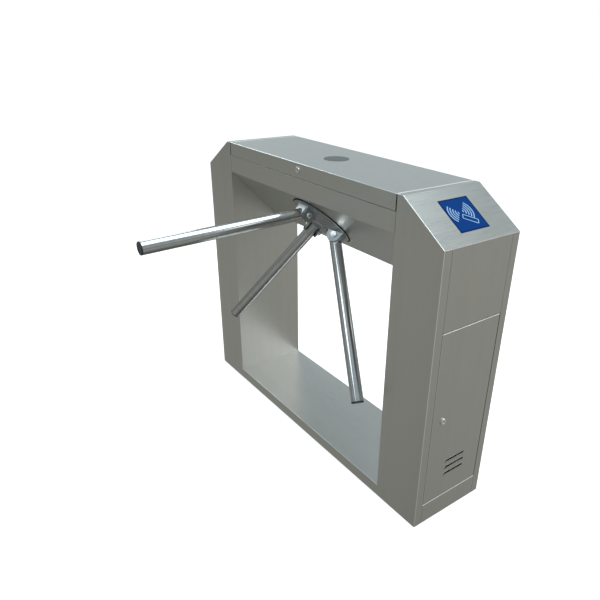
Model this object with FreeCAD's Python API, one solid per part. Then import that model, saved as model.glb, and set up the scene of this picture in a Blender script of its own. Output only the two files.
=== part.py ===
import FreeCAD, Part
import math
import os

# A waist-high tripod turnstile: two sheet-steel pillars joined by a floor channel and a hollow crossbar, with
# a three-armed rotor on an axis tilted 45 degrees down towards the walkway.
# X runs along the cabinet, Y from the walkway (-Y) to the back (+Y), Z up. The origin is on the floor, in
# the middle of the cabinet's footprint. Lengths are in millimetres, angles in degrees.

Vec = FreeCAD.Vector

# ---------------------------------------------------------------- driving dimensions
LENGTH = 1200.0  # over both pillars
DEPTH = 280.0  # cabinet, front to back
HEIGHT = 960.0
SHEET = 1.5  # stainless sheet
BEND = 2.0  # outside radius of a fold
LID_BEND = 1.8
SEAM = 0.8  # open joint between fixed sheets
DOOR_GAP = 2.0  # open joint round a door
LID_GAP = 4.0  # open joint at each end of the lid

PILLAR = 170.0  # pillar width along X
DECK_FLAT = 20.0  # level strip at the top of a pillar
DECK_DROP = 98.0  # how far the sloped reader deck falls
END_FLANGE = 27.0  # front and back sheets wrap this far round the end
BASE_HEIGHT = 40.0
SILL_TOP = 70.0
DOOR_TOP = 638.0
RETURN = 15.0  # hidden fold along a sheet's edge

SKIRT = 44.0  # depth of the lid's front skirt
REAR_SKIRT = 20.0
CHIN_Z = 858.5  # the crossbar's front turns in at 45 degrees here
SLANT = 185.0  # run and fall of the 45 degree panel

ROTOR_DOWN = 122.0  # rotor axis below the chin, along the slanted panel
ROTOR_HOLE_R = 111.0
DISC_R = 107.0
APEX_DEPTH = 50.0  # the arms' centre lines meet this far behind the panel
ARM_CONE = 43.5  # between an arm and the rotor axis
ARM_REACH = 625.0  # apex to arm tip
ARM_R = 19.0
ARM_WALL = 1.5
ARM_COUNT = 3
BOLT_AT = 100.0  # apex to the bolt through an arm's root
BOLT_R = 6.0
DISC_FACE = 3.0  # half the rotor disc's thickness
BOSS_R = 34.0  # middle of the hub
EAR_GAP = ARM_R + 0.3  # from an arm's centre line to its ear
EAR_THICK = 5.0
EAR_R = 22.0
EAR_FOOT = 24.0  # from the bolt out to the ears' edge on the disc
PAD = 2.5  # floor of the hub under an arm's root
ROOT_OUT = 22.0  # from the bolt to the end of the ears, where the tube starts
CAP = 4.0  # thickness of an arm's end cap

WINDOW = 106.0  # side of the card window
INDICATOR = (0.0, 0.0)  # centre of the lamp lens in the lid
INDICATOR_R = 40.0
LID_LOCK = (-4.0, 940.0)  # x, z
DOOR_LOCK = (-70.0, 355.0)  # y, z
LOUVRES_Z = (150.5, 174.0, 197.5)
LOUVRE_Y = 4.0
LOUVRE_WIDTH = 78.0

ANCHOR_X = (470.0, 555.0)  # floor bolts, mirrored to the other pillar
ANCHOR_Y = 100.0
ANCHOR_R = 7.0
FLOOR_PLATE = 5.0
CABLE_X = 512.5
CABLE_R = 6.5
GLAND_R = 12.0

PIVOT_R = 1.7  # door pins
LOCK_R = 8.0  # cam locks
LOCK_HEAD_R = 9.5
PLUG_R = 5.5
LOCK_DEPTH = 18.0
PLUG_TAIL = 3.0  # plug beyond its barrel
CAM = 2.5  # cam thickness
LID_CAM = 22.0  # cam lengths
DOOR_CAM = 54.0
HINGE_PLACES = (-300.0, 0.0, 300.0)  # lid hinges
KNUCKLE = 20.0
KNUCKLE_R = 4.0
HINGE_PIN_R = 2.0
LEAF = 1.8

SHAFT_R = 12.5
SHAFT_START = -8.0
RUN = 0.05  # radial clearance of a running fit
BEARING_R = 26.0
BEARING_WIDTH = 15.0
HOUSING_R = 36.0
CHASSIS = (40.0, 48.0)  # mechanism plate, depths behind the slanted panel
NEAR_BEARING = 44.0
FAR_BEARING = 90.0
HOUSING_END = 108.0
RATCHET = (114.0, 122.0)
RATCHET_R = 60.0
NOTCHES = 6
GEAR = (126.0, 136.0)
GEAR_MODULE = 1.5
GEAR_TEETH = 48
PINION_TEETH = 16
PRESSURE_ANGLE = 20.0
BRIDGE = (146.0, 152.0)
GEAR_SEAT_R = 11.0  # shaft where the ratchet and gear sit
THREAD_R = 9.0
DAMPER_R = 22.0
PINION_SHAFT_R = 4.0
STUD_R = 4.0

PAWL_SWING = 12.0
PAWL_PIVOT = (90.0, -46.0)
PAWL_ARM = 86.0  # pivot to the plunger's pin
PAWL_TIP_X = 53.0  # nose of an engaged pawl
PAWL_PIN_R = 6.0
PLUNGER_R = 5.0
PLUNGER_Z = 128.5

# ---------------------------------------------------------------- worked out from them
END_X = LENGTH / 2
INNER_X = END_X - PILLAR
FACE_Y = DEPTH / 2
DECK_FOLD_X = INNER_X + DECK_FLAT
DECK_LOW_Z = HEIGHT - DECK_DROP
DECK_ANGLE = math.atan2(DECK_DROP, END_X - DECK_FOLD_X)
DECK_LENGTH = math.hypot(DECK_DROP, END_X - DECK_FOLD_X)
FLANGE_Y = FACE_Y - END_FLANGE
DOOR_Y = FLANGE_Y - DOOR_GAP
HINGE_X = END_X - 3.5
HINGE_Y = FLANGE_Y - 7.0
SKIRT_Z = HEIGHT - SKIRT
REAR_SKIRT_Z = HEIGHT - REAR_SKIRT
SLANT_END_Y = -FACE_Y + SLANT
BEAM_BOTTOM_Z = CHIN_Z - SLANT
HALF = math.sqrt(0.5)
CONE = math.radians(ARM_CONE)
LID_X = INNER_X - LID_GAP
BEAM_X = INNER_X - 1.0
HINGE_AXIS_Y = FACE_Y + KNUCKLE_R
HINGE_AXIS_Z = REAR_SKIRT_Z - SHEET / 2
STANDOFFS = [(sx * 150.0, y) for sx in (-1, 1) for y in (-85.0, 95.0)]
BRIDGE_POSTS = [(sx * 56.0, y) for sx in (-1, 1) for y in (-42.0, 62.0)]
ROTOR_AT = Vec(0, -FACE_Y + ROTOR_DOWN * HALF, CHIN_Z - ROTOR_DOWN * HALF)
ROTOR_FRAME = FreeCAD.Placement(ROTOR_AT, FreeCAD.Rotation(Vec(1, 0, 0), -45))
DECK_FRAME = FreeCAD.Placement(
    Vec(DECK_FOLD_X, 0, HEIGHT), FreeCAD.Rotation(Vec(0, 1, 0), math.degrees(DECK_ANGLE))
)
PLUNGER_TRAVEL = PAWL_ARM * math.sin(math.radians(PAWL_SWING))
PAWL_PLANE = (RATCHET[0] + 0.5, RATCHET[1] - 0.5)
PLUNGER_Y = PAWL_PIVOT[1] + PAWL_ARM - 1.0
GEAR_CENTRES = GEAR_MODULE * (GEAR_TEETH + PINION_TEETH) / 2


# ---------------------------------------------------------------- helpers
def box(x0, x1, y0, y1, z0, z1):
    return Part.makeBox(x1 - x0, y1 - y0, z1 - z0, Vec(x0, y0, z0))


def rod(radius, start, end):
    axis = Vec(*end) - Vec(*start)
    return Part.makeCylinder(radius, axis.Length, Vec(*start), axis)


def disc(radius, z0, z1, x=0.0, y=0.0):
    return rod(radius, (x, y, z0), (x, y, z1))


def prism(outline, sweep):
    """Extrude a closed outline of 3-D points along a vector."""
    points = [Vec(*p) for p in outline]
    return Part.Face(Part.makePolygon(points + points[:1])).extrude(Vec(*sweep))


def xz_prism(outline, y0, y1):
    return prism([(x, y0, z) for x, z in outline], (0, y1 - y0, 0))


def yz_prism(outline, x0, x1):
    return prism([(x0, y, z) for y, z in outline], (x1 - x0, 0, 0))


def xy_prism(outline, z0, z1):
    return prism([(x, y, z0) for x, y in outline], (0, 0, z1 - z0))


def fused(*shapes):
    return shapes[0].multiFuse(list(shapes[1:])).removeSplitter()


def cut(shape, *tools):
    return shape.cut(list(tools))


def rounded(shape, radius, *points):
    """Round the straight edges that pass through the given points."""
    spots = [Part.Vertex(Vec(*p)) for p in points]
    edges = [e for e in shape.Edges if any(e.distToShape(s)[0] < 1e-3 for s in spots)]
    return shape.makeFillet(radius, edges)


def round_uprights(shape, radius):
    """Round the edges that run along Z."""
    return shape.makeFillet(radius, [e for e in shape.Edges if abs(e.tangentAt(e.FirstParameter).z) > 0.9])


def placed(shape, frame):
    out = shape.copy()
    out.Placement = frame.multiply(out.Placement)
    return out


def turned(shape, degrees, centre=(0, 0, 0), axis=(0, 0, 1)):
    out = shape.copy()
    out.rotate(Vec(*centre), Vec(*axis), degrees)
    return out


def moved(shape, x, y, z):
    out = shape.copy()
    out.translate(Vec(x, y, z))
    return out


def around(shape, count, start=0.0):
    """Copies of a shape, evenly spaced round Z."""
    return [turned(shape, start + 360.0 / count * i) for i in range(count)]


def ring_of(count, radius, start=0.0, x=0.0, y=0.0):
    """Evenly spaced points on a circle."""
    angles = [math.radians(start + 360.0 / count * i) for i in range(count)]
    return [(x + radius * math.cos(a), y + radius * math.sin(a)) for a in angles]


def hexagon(across_corners_r, x=0.0, y=0.0):
    return ring_of(6, across_corners_r, 0.0, x, y)


def mirrored(shape):
    """The same piece for the other end of the cabinet."""
    return shape.mirror(Vec(0, 0, 0), Vec(1, 0, 0))


def both_ends(shape):
    return [shape, mirrored(shape)]


# ---------------------------------------------------------------- pillars
def deck_underside():
    """Inner fold and low end of the deck sheet's underside, as x and z."""
    fold_x = DECK_FOLD_X - SHEET * math.tan(DECK_ANGLE / 2)
    low_z = DECK_LOW_Z - SHEET / math.cos(DECK_ANGLE)
    return [(END_X, low_z), (fold_x, HEIGHT - SHEET), (INNER_X, HEIGHT - SHEET)]


def under_deck():
    """Everything in a pillar that lies under its deck sheet."""
    outline = [(INNER_X, 0), (END_X, 0)] + deck_underside()
    return xz_prism(outline, -FACE_Y, FACE_Y)


def front_panel():
    """Walkway side of the right pillar, with the flange that wraps round the end."""
    block = box(INNER_X, END_X, -FACE_Y, -FLANGE_Y, 0, HEIGHT)
    hollow = box(INNER_X - 1, END_X - SHEET, -FACE_Y + SHEET, 0, -1, HEIGHT + 1)
    panel = cut(block, hollow)
    panel = rounded(panel, BEND, (END_X, -FACE_Y, HEIGHT / 2))
    panel = rounded(panel, BEND - SHEET, (END_X - SHEET, -FACE_Y + SHEET, HEIGHT / 2))
    return panel.common(under_deck())


def back_panel():
    return front_panel().mirror(Vec(0, 0, 0), Vec(0, 1, 0))


def inner_panel():
    """The pillar's side towards the other pillar, folded along each upright edge, with a wiring hole."""
    wire_y, wire_z, wire_r = 85.0, 800.0, 22.0
    y = FACE_Y - SHEET
    block = box(INNER_X, INNER_X + RETURN, -y, y, 0, HEIGHT)
    hollow = box(INNER_X + SHEET, END_X, -y + SHEET, y - SHEET, -1, HEIGHT + 1)
    wiring = rod(wire_r, (INNER_X - 1, wire_y, wire_z), (INNER_X + SHEET + 1, wire_y, wire_z))
    return cut(block, hollow, wiring).common(under_deck())


def deck_panel():
    """Level strip and sloped reader deck, with a square cut-out for the card window."""
    edge_r, clearance = 1.2, 0.3
    outline = [(INNER_X, HEIGHT), (DECK_FOLD_X, HEIGHT), (END_X, DECK_LOW_Z)] + deck_underside()
    panel = xz_prism(outline, -FACE_Y, FACE_Y)
    panel = rounded(panel, BEND, (DECK_FOLD_X, 0, HEIGHT))
    panel = rounded(panel, SHEET / 2, (END_X, 0, DECK_LOW_Z), (INNER_X, 0, HEIGHT))
    slope_middle = placed(Part.Vertex(DECK_LENGTH / 2, FACE_Y, 0), DECK_FRAME).Point
    sides = [(slope_middle.x, side * FACE_Y, slope_middle.z) for side in (-1, 1)]
    panel = rounded(panel, edge_r, *sides)
    half, mid = WINDOW / 2 + clearance, DECK_LENGTH / 2
    opening = box(mid - half, mid + half, -half, half, -5, 5)
    return cut(panel, placed(opening, DECK_FRAME))


def card_window():
    """Acrylic plate set flush in the deck, with softened corners."""
    mid, half, proud, thick = DECK_LENGTH / 2, WINDOW / 2, 0.4, 3.0
    plate = box(mid - half, mid + half, -half, half, proud - thick, proud)
    return placed(round_uprights(plate, 2.0), DECK_FRAME)


def card_reader():
    """Potted antenna box behind the window, with a cable stub on its underside."""
    mid, half, top, bottom = DECK_LENGTH / 2, 44.0, -2.6, -24.0
    case = round_uprights(box(mid - half, mid + half, -half, half, bottom, top), 4.0)
    stub = disc(5.0, bottom - 6.0, bottom, mid, 20.0)
    return placed(fused(case, stub), DECK_FRAME)


def end_panel():
    """Fixed upper part of the pillar's end, with returns on three sides."""
    y = FLANGE_Y - SEAM
    block = box(END_X - RETURN, END_X, -y, y, DOOR_TOP, HEIGHT)
    hollow = box(0, END_X - SHEET, -y + SHEET, y - SHEET, DOOR_TOP + SHEET, HEIGHT + 1)
    pivot = disc(PIVOT_R, 0, HEIGHT, HINGE_X, HINGE_Y)
    panel = rounded(cut(block, hollow), SHEET / 2, (END_X, 0, DOOR_TOP))
    return cut(panel, pivot).common(under_deck())


def foot():
    """Floor plate with anchor holes, and the sill below the door."""
    y, margin = FLANGE_Y - SEAM, 0.6
    half = FACE_Y - SHEET - margin
    plate = box(INNER_X + SHEET, END_X - SHEET, -half, half, 0, FLOOR_PLATE)
    # notches for the upright returns of the inner panel
    notch = box(INNER_X, INNER_X + RETURN, FACE_Y - 2 * SHEET, FACE_Y, -1, FLOOR_PLATE + 1)
    notches = [notch, notch.mirror(Vec(0, 0, 0), Vec(0, 1, 0))]
    sill = box(END_X - SHEET, END_X, -y, y, 0, SILL_TOP)
    shelf = box(END_X - RETURN, END_X, -y, y, SILL_TOP - SHEET, SILL_TOP)
    body = rounded(fused(cut(plate, *notches), sill, shelf), BEND, (END_X, 0, SILL_TOP))
    holes = [disc(ANCHOR_R, -1, FLOOR_PLATE + 1, x, side * ANCHOR_Y) for x in ANCHOR_X for side in (-1, 1)]
    gland = disc(GLAND_R, -1, FLOOR_PLATE + 1, CABLE_X, 0)
    pivot = disc(PIVOT_R, SILL_TOP - 2 * SHEET, SILL_TOP + 1, HINGE_X, HINGE_Y)
    return cut(body, gland, pivot, *holes)


def cable_gland():
    """Gland in a foot's floor plate: threaded body, lock nut and dome."""
    body_top, top, nut, mouth_r = 24.0, 30.0, 6.0, 9.0
    body = disc(GLAND_R, 0, body_top)
    nut = xy_prism(hexagon(17.0), FLOOR_PLATE, FLOOR_PLATE + nut)
    dome = Part.makeCone(GLAND_R, mouth_r, top - body_top, Vec(0, 0, body_top))
    return moved(cut(fused(body, nut, dome), disc(CABLE_R, -1, top + 1)), CABLE_X, 0, 0)


def base_channel():
    """Inverted channel along the floor between the pillars."""
    outer = box(-INNER_X, INNER_X, -FACE_Y, FACE_Y, 0, BASE_HEIGHT)
    inner = box(-END_X, END_X, -FACE_Y + SHEET, FACE_Y - SHEET, -1, BASE_HEIGHT - SHEET)
    return rounded(cut(outer, inner), BEND, (0, -FACE_Y, BASE_HEIGHT), (0, FACE_Y, BASE_HEIGHT))


# ---------------------------------------------------------------- doors
def door_frame():
    """The door's sheet with a return on all four sides."""
    z0, z1, side_r = SILL_TOP + SHEET, DOOR_TOP - SHEET, 1.0
    mid = (z0 + z1) / 2
    block = box(END_X - RETURN, END_X, -DOOR_Y, DOOR_Y, z0, z1)
    hollow = box(0, END_X - SHEET, -DOOR_Y + SHEET, DOOR_Y - SHEET, z0 + SHEET, z1 - SHEET)
    frame = rounded(cut(block, hollow), BEND, (END_X, 0, z0), (END_X, 0, z1))
    return rounded(frame, side_r, (END_X, -DOOR_Y, mid), (END_X, DOOR_Y, mid))


def louvre_slot(z):
    y0, y1 = LOUVRE_Y - LOUVRE_WIDTH / 2, LOUVRE_Y + LOUVRE_WIDTH / 2
    return box(END_X - 2 * SHEET, END_X + 1, y0, y1, z - 4.0, z + 4.5)


def louvre_hood(z):
    """Pressed lip below one slot, open at the top, with closed ends."""
    proud, skin = 3.0, 1.0
    y0, y1 = LOUVRE_Y - LOUVRE_WIDTH / 2, LOUVRE_Y + LOUVRE_WIDTH / 2
    outside = [
        (END_X - 0.5, z + 1.0),
        (END_X + proud, z + 1.0),
        (END_X + proud * 0.8, z - 2.5),
        (END_X - 0.5, z - 7.5),
    ]
    inside = [
        (END_X - 1.0, z + 2.0),
        (END_X + proud - skin, z + 2.0),
        (END_X + proud * 0.8 - skin, z - 2.0),
        (END_X - 1.0, z - 4.5),
    ]
    return cut(xz_prism(outside, y0 - skin, y1 + skin), xz_prism(inside, y0, y1))


def door():
    y, z = DOOR_LOCK
    lock_hole = rod(LOCK_R, (END_X - 5, y, z), (END_X + 5, y, z))
    pivots = disc(PIVOT_R + RUN, 0, HEIGHT, HINGE_X, HINGE_Y)
    body = cut(door_frame(), lock_hole, pivots, *[louvre_slot(z0) for z0 in LOUVRES_Z])
    return fused(body, *[louvre_hood(z0) for z0 in LOUVRES_Z])


def door_pivot_pins():
    """Headed pins in the sill and the end panel, on which a door turns."""
    reach, head_r, head, head_x = 9.0, 3.2, 2.0, HINGE_X - 1.3
    low_seat, high_seat = SILL_TOP - SHEET, DOOR_TOP + SHEET
    low = fused(
        disc(PIVOT_R, low_seat, SILL_TOP + SHEET + reach, HINGE_X, HINGE_Y),
        disc(head_r, low_seat - head, low_seat, head_x, HINGE_Y),
    )
    high = fused(
        disc(PIVOT_R, DOOR_TOP - SHEET - reach, high_seat, HINGE_X, HINGE_Y),
        disc(head_r, high_seat, high_seat + head, head_x, HINGE_Y),
    )
    return [low, high]


# ---------------------------------------------------------------- cam locks, drawn along +Z from the face
def lock_barrel():
    """Threaded barrel with a chamfered head in front of the sheet and a nut behind it."""
    head, chamfer, nut = 4.0, 1.0, 4.0
    flange = disc(LOCK_HEAD_R, 0, head)
    flange = flange.makeChamfer(chamfer, [e for e in flange.Edges if e.BoundBox.ZMin > head - 0.1])
    barrel = disc(LOCK_R, -LOCK_DEPTH, 0)
    ring = xy_prism(hexagon(12.0), -SHEET - nut, -SHEET)
    return cut(fused(flange, barrel, ring), disc(PLUG_R + RUN, -LOCK_DEPTH - 1, head + 1))


def lock_cam(reach):
    """Plug with a key slot, and the cam on its inner end, pointing along -Y."""
    slot_x, slot_y, slot_floor, face = 0.8, 3.6, -6.0, 3.4
    tail_end = -LOCK_DEPTH - PLUG_TAIL
    cam_end = tail_end - CAM
    tip, eye = 6.0, 9.0
    key_slot = box(-slot_x, slot_x, -slot_y, slot_y, slot_floor, face + 1)
    plug = cut(disc(PLUG_R, tail_end, face), key_slot)
    blade = fused(
        disc(eye, cam_end, tail_end),
        disc(tip, cam_end, tail_end, 0, tip - reach),
        box(-tip, tip, tip - reach, 0, cam_end, tail_end),
    )
    return fused(plug, blade)


def on_door(shape):
    """Stand a lock in the right door: its axis along +X, its cam pointing down."""
    out = turned(turned(shape, 90, axis=(0, 0, 1)), 90, axis=(0, 1, 0))
    return moved(out, END_X, *DOOR_LOCK)


def on_lid(shape):
    """Stand a lock in the lid's skirt: its axis along -Y, its cam pointing down."""
    x, z = LID_LOCK
    return moved(turned(shape, 90, axis=(1, 0, 0)), x, -FACE_Y, z)


def door_keeper():
    """Angle on the pillar's front panel that the door's cam turns behind."""
    plate, half = 2.0, 15.0
    z = DOOR_LOCK[1]
    back = END_X - LOCK_DEPTH - PLUG_TAIL + CAM
    wall = -FACE_Y + SHEET
    foot_plate = box(back - 24, back + plate, wall, wall + plate, z - half, z + half)
    stop = box(back, back + plate, wall, -FLANGE_Y - 1.0, z - half, z + half)
    return fused(foot_plate, stop)


def lid_keeper():
    """Hook on the crossbar's ledge that the lid's cam turns under."""
    plate, over = 2.0, 9.0
    x, z = LID_LOCK
    post = x + LID_CAM + 3.0
    ledge = SKIRT_Z - SHEET
    y0, y1 = -FACE_Y + 12.0, -FACE_Y + 26.0
    upright = box(post, post + plate, y0, y1, ledge, z + over)
    hook = box(post - 15, post + plate, y0, y1, z + over - plate, z + over)
    toe = box(post, post + 16, y0, y1 - 4.0, ledge, ledge + plate)
    return fused(upright, hook, toe)


# ---------------------------------------------------------------- crossbar
def crossbar_front_panel():
    """Front strip under the lid, the 45 degree panel with the rotor's round opening, and the bottom lip."""
    ledge, ledge_r = 22.0, 0.8
    top = SKIRT_Z - SHEET
    tuck = SHEET * math.tan(math.radians(22.5))
    outline = [
        (-FACE_Y, top),
        (-FACE_Y, CHIN_Z),
        (SLANT_END_Y, BEAM_BOTTOM_Z),
        (SLANT_END_Y + RETURN, BEAM_BOTTOM_Z),
        (SLANT_END_Y + RETURN, BEAM_BOTTOM_Z + SHEET),
        (SLANT_END_Y + tuck, BEAM_BOTTOM_Z + SHEET),
        (-FACE_Y + SHEET, CHIN_Z + tuck),
        (-FACE_Y + SHEET, top - SHEET),
        (-FACE_Y + ledge, top - SHEET),
        (-FACE_Y + ledge, top),
    ]
    panel = yz_prism(outline, -BEAM_X, BEAM_X)
    panel = rounded(panel, BEND, (0, -FACE_Y, CHIN_Z), (0, SLANT_END_Y, BEAM_BOTTOM_Z))
    panel = rounded(panel, ledge_r, (0, -FACE_Y, top))
    return cut(panel, rotor_part(disc(ROTOR_HOLE_R, -20, 20)))


def crossbar_back_panel():
    """Upright back and level bottom of the crossbar."""
    fold, top = 18.0, REAR_SKIRT_Z - SHEET
    start = SLANT_END_Y + RETURN + SEAM / 2
    outline = [
        (start, BEAM_BOTTOM_Z),
        (FACE_Y, BEAM_BOTTOM_Z),
        (FACE_Y, top),
        (FACE_Y - fold, top),
        (FACE_Y - fold, top - SHEET),
        (FACE_Y - SHEET, top - SHEET),
        (FACE_Y - SHEET, BEAM_BOTTOM_Z + SHEET),
        (start, BEAM_BOTTOM_Z + SHEET),
    ]
    panel = yz_prism(outline, -BEAM_X, BEAM_X)
    return rounded(panel, BEND, (0, FACE_Y, BEAM_BOTTOM_Z), (0, FACE_Y, top))


def knuckle(x0, x1, radius=KNUCKLE_R):
    return rod(radius, (x0, HINGE_AXIS_Y, HINGE_AXIS_Z), (x1, HINGE_AXIS_Y, HINGE_AXIS_Z))


def lid_hinge(x):
    """Fixed half of a butt hinge: leaf on the crossbar's back, two outer knuckles and the pin."""
    drop, gap = 26.0, 0.4
    end, inner = 1.5 * KNUCKLE, KNUCKLE / 2 + gap
    leaf_z = HINGE_AXIS_Z - KNUCKLE_R - gap
    parts = [box(x - end, x + end, FACE_Y, FACE_Y + LEAF, leaf_z - drop, leaf_z)]
    for x0, x1 in ((x - end, x - inner), (x + inner, x + end)):
        parts.append(box(x0, x1, FACE_Y, FACE_Y + LEAF, leaf_z, HINGE_AXIS_Z))
        parts.append(knuckle(x0, x1))
    parts.append(knuckle(x - end, x + end, HINGE_PIN_R))
    cabinet = box(x - end - 1, x + end + 1, 0, FACE_Y, leaf_z - drop - 1, HINGE_AXIS_Z + 10)
    return cut(fused(*parts), cabinet)


def lid_knuckle(x):
    """Moving knuckle with its leaf, which is one with the lid's rear skirt."""
    x0, x1, clear = x - KNUCKLE / 2, x + KNUCKLE / 2, 0.5
    leaf = box(x0, x1, FACE_Y - clear, FACE_Y + LEAF, HINGE_AXIS_Z, HEIGHT - 3.0)
    bore = knuckle(x0 - 1, x1 + 1, HINGE_PIN_R + RUN)
    inside = box(x0 - 1, x1 + 1, FACE_Y - 5, FACE_Y, HINGE_AXIS_Z - 5, REAR_SKIRT_Z + clear)
    return cut(fused(leaf, knuckle(x0, x1)), bore, inside)


def lid():
    """Top sheet with a skirt on each side, the hole for the lamp lens, and the moving hinge knuckles."""
    y = FACE_Y - SHEET
    shell = cut(
        box(-LID_X, LID_X, -FACE_Y, FACE_Y, SKIRT_Z, HEIGHT),
        box(-LID_X + SHEET, LID_X - SHEET, -y, y, SKIRT_Z - 1, HEIGHT - SHEET),
        box(-END_X, END_X, -y, FACE_Y + 1, SKIRT_Z - 1, REAR_SKIRT_Z + 0.5),
    )
    long_edges = [(0, side * FACE_Y, HEIGHT) for side in (-1, 1)]
    short_edges = [(side * LID_X, 0, HEIGHT) for side in (-1, 1)]
    shell = rounded(shell, LID_BEND, *long_edges, *short_edges)
    lens_hole = disc(INDICATOR_R + 0.4, HEIGHT - 5, HEIGHT + 5, *INDICATOR)
    x, z = LID_LOCK
    lock_hole = rod(LOCK_R, (x, -FACE_Y - 5, z), (x, -FACE_Y + 5, z))
    return fused(cut(shell, lens_hole, lock_hole), *[lid_knuckle(place) for place in HINGE_PLACES])


def indicator_lens():
    """Flat-topped lens with a flange that sits under the lid's sheet."""
    proud, depth, rim, soft = 0.6, 6.0, 6.0, 0.5
    lens = disc(INDICATOR_R, HEIGHT - depth, HEIGHT + proud, *INDICATOR)
    lens = lens.makeFillet(soft, [e for e in lens.Edges if e.BoundBox.ZMin > HEIGHT])
    return fused(lens, disc(INDICATOR_R + rim, HEIGHT - 3 * SHEET, HEIGHT - SHEET, *INDICATOR))


def indicator_lamp():
    """Round lamp board on three spacers under the lens, with a ring of light-emitting diodes."""
    low, thick, board_r, lens_back = HEIGHT - 24.0, 1.6, 36.0, HEIGHT - 6.0
    board = low + thick
    x, y = INDICATOR
    diodes = [disc(2.5, board, board + 4.4, *p) for p in ring_of(12, 28.0, 0, x, y)]
    spacers = [disc(3.0, board, lens_back, *p) for p in ring_of(3, 18.0, 15, x, y)]
    plug = box(x - 8, x + 8, y - 5, y + 5, low - 8, low)
    return fused(disc(board_r, low, board, x, y), plug, *diodes, *spacers)


# ---------------------------------------------------------------- rotor
# Drawn about the panel's rotor centre: x along the cabinet, y down the slanted panel, z into the cabinet.
def rotor_part(shape):
    return placed(shape, ROTOR_FRAME)


def leaned(shape):
    """Carry a shape drawn along +X from the apex onto an arm's line over the rotor's +X."""
    return moved(turned(shape, 90 - ARM_CONE, axis=(0, 1, 0)), 0, 0, APEX_DEPTH)


def on_arm(shape, index):
    return rotor_part(turned(leaned(shape), arm_angle(index)))


def arm_angle(index):
    return -90 + 360 / ARM_COUNT * index


def rotor_disc():
    edge_r = 0.6
    plate = disc(DISC_R, -DISC_FACE, DISC_FACE)
    plate = plate.makeFillet(edge_r, [e for e in plate.Edges if e.BoundBox.ZMax < 0])
    return rotor_part(cut(plate, disc(BOSS_R, -10, 10)))


def ears(index):
    """The two bolted lugs of one arm: plates that widen from the bolt's eye down to the disc."""
    inward, eye = 34.0, EAR_R * 0.96
    bolt_r = BOLT_AT * math.sin(CONE)
    bolt_z = APEX_DEPTH - BOLT_AT * math.cos(CONE)
    y0, y1 = EAR_GAP, EAR_GAP + EAR_THICK
    outline = [
        (bolt_r - inward, -DISC_FACE),
        (bolt_r + EAR_FOOT, -DISC_FACE),
        (bolt_r + eye, bolt_z),
        (bolt_r - eye, bolt_z),
    ]
    lug = fused(xz_prism(outline, y0, y1), rod(EAR_R, (bolt_r, y0, bolt_z), (bolt_r, y1, bolt_z)))
    lug = cut(lug, disc(2 * DISC_R, -DISC_FACE, 100))
    return [turned(one, arm_angle(index)) for one in (lug, lug.mirror(Vec(0, 0, 0), Vec(0, 1, 0)))]


def saddle():
    """Fills the wedge between the disc and the underside of an arm's root, from ear to ear."""
    start, end, front, gap = 55.0, 250.0, 200.0, 0.4
    half = ARM_R + gap
    outer_r = BOLT_AT * math.sin(CONE) + EAR_FOOT
    wedge = box(BOSS_R, outer_r, -EAR_GAP, EAR_GAP, -front, -DISC_FACE)
    root_space = fused(rod(half, (start, 0, 0), (end, 0, 0)), box(start, end, -half, half, -front, 0))
    return cut(wedge, leaned(root_space))


def hub_cone():
    """Low cone in front of the disc, with a channel for each arm's root."""
    rim_r, top_r, rise = 96.0, 46.0, 15.0
    cone = Part.makeCone(rim_r, top_r, rise, Vec(0, 0, -DISC_FACE), Vec(0, 0, -1))
    channel = box(BOSS_R - 8.0, 2 * DISC_R, -EAR_GAP, EAR_GAP, -100.0, -DISC_FACE - PAD)
    return cut(cone, *around(channel, ARM_COUNT, arm_angle(0)))


def hub_casting():
    """Hub behind and in front of the disc, with a saddle and a pair of ears for each arm."""
    front, back, soft = -22.0, 32.0, 6.0
    boss = disc(BOSS_R, front, back)
    boss = boss.makeFillet(soft, [e for e in boss.Edges if e.BoundBox.ZMax < front + 1])
    flange = disc(60.0, DISC_FACE, DISC_FACE + 8)
    lugs = [lug for index in range(ARM_COUNT) for lug in ears(index)]
    body = fused(boss, flange, hub_cone(), *around(saddle(), ARM_COUNT, arm_angle(0)), *lugs)
    bolts = [bolt_hole(index) for index in range(ARM_COUNT)]
    return cut(rotor_part(body), rotor_part(disc(SHAFT_R, SHAFT_START, back + 8)), *bolts)


def bolt_hole(index):
    return on_arm(rod(BOLT_R, (BOLT_AT, -60, 0), (BOLT_AT, 60, 0)), index)


def hub_floor():
    """What an arm's root must keep clear of: the boss, and all behind the channel floors."""
    gap = 0.4
    floor = disc(300.0, -DISC_FACE - PAD - gap, 100.0)
    return rotor_part(fused(floor, disc(BOSS_R + gap, -60, 0)))


def arm_root(index):
    """Solid end that the ears grip, with a spigot in the tube."""
    start, shoulder, spigot = BOLT_AT - 34, BOLT_AT + ROOT_OUT, 48.0
    root = fused(
        rod(ARM_R, (start, 0, 0), (shoulder, 0, 0)),
        rod(ARM_R - ARM_WALL, (shoulder, 0, 0), (shoulder + spigot, 0, 0)),
    )
    return cut(on_arm(root, index), bolt_hole(index), hub_floor())


def arm_tube(index):
    start, end = BOLT_AT + ROOT_OUT, ARM_REACH - CAP
    bore = rod(ARM_R - ARM_WALL, (start - 1, 0, 0), (end + 1, 0, 0))
    return on_arm(cut(rod(ARM_R, (start, 0, 0), (end, 0, 0)), bore), index)


def arm_end_plug(index):
    """Cap flush with the tube, with a lip inside it."""
    end, soft, lip = ARM_REACH - CAP, 1.5, 14.0
    cap = rod(ARM_R, (end, 0, 0), (ARM_REACH, 0, 0))
    cap = cap.makeFillet(soft, [e for e in cap.Edges if e.BoundBox.XMin > ARM_REACH - 1])
    return on_arm(fused(cap, rod(ARM_R - ARM_WALL, (end - lip, 0, 0), (end, 0, 0))), index)


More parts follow.
